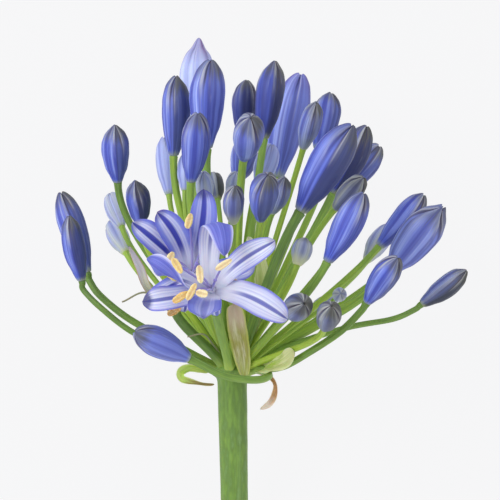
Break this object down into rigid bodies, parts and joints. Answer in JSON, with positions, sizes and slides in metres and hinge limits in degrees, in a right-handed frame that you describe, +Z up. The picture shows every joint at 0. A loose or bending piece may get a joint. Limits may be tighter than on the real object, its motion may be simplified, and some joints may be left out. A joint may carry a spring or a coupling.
{
  "type": "agapanthus flower head",
  "caption": "Cut agapanthus flower head lying on its side: green stalk, umbel of blue-violet buds, open star-shaped flowers and dry sheath pieces.",
  "frame": {"origin": "centre of the bounding box's bottom, on the surface that the head lies on", "axes": "+Z up from the surface, +Y along the surface from the stalk's cut end towards the head's top, +X to the right of a viewer who looks down on the head"},
  "size_m": [0.1426, 0.1915, 0.1175],
  "materials": {
    "stalk": "satin",
    "bud": "satin",
    "bud_pale": "satin",
    "bud_young": "satin",
    "petal": "satin",
    "sheath": "matte"
  },
  "bodies": {
    "root": {"bract_left": "sheath", "bract_right": "sheath", "bract_strap": "sheath", "bud_01": "bud_pale", "bud_02": "bud", "bud_03": "bud", "bud_04": "bud", "bud_05": "bud_pale", "bud_06": "bud", "bud_07": "bud", "bud_08": "bud_pale", "bud_09": "bud_young", "bud_10": "bud", "bud_11": "bud", "bud_12": "bud", "bud_13": "bud", "bud_14": "bud", "bud_15": "bud", "bud_16": "bud_pale", "bud_17": "bud", "bud_18": "bud", "bud_19": "bud", "bud_20": "bud", "bud_21": "bud", "bud_22": "bud", "bud_23": "bud", "bud_24": "bud_young", "bud_25": "bud", "bud_26": "bud", "bud_27": "bud", "bud_28": "bud", "bud_29": "bud", "bud_30": "bud", "bud_31": "bud_young", "bud_32": "bud", "bud_33": "bud_young", "bud_34": "bud_young", "bud_35": "bud_young", "bud_36": "bud_young", "bud_37": "bud_young", "bud_38": "bud_pale", "bud_39": "bud_pale", "bud_40": "bud_pale", "bud_41": "bud", "bud_42": "bud", "bud_43": "bud", "bud_44": "bud_pale", "bud_45": "bud", "bud_46": "bud", "bud_47": "bud_young", "bud_48": "bud_young", "bud_49": "bud_young", "bud_50": "bud_young", "flower_back": "petal", "flower_front": "petal", "stalks": "stalk"}
  },
  "joints": []
}
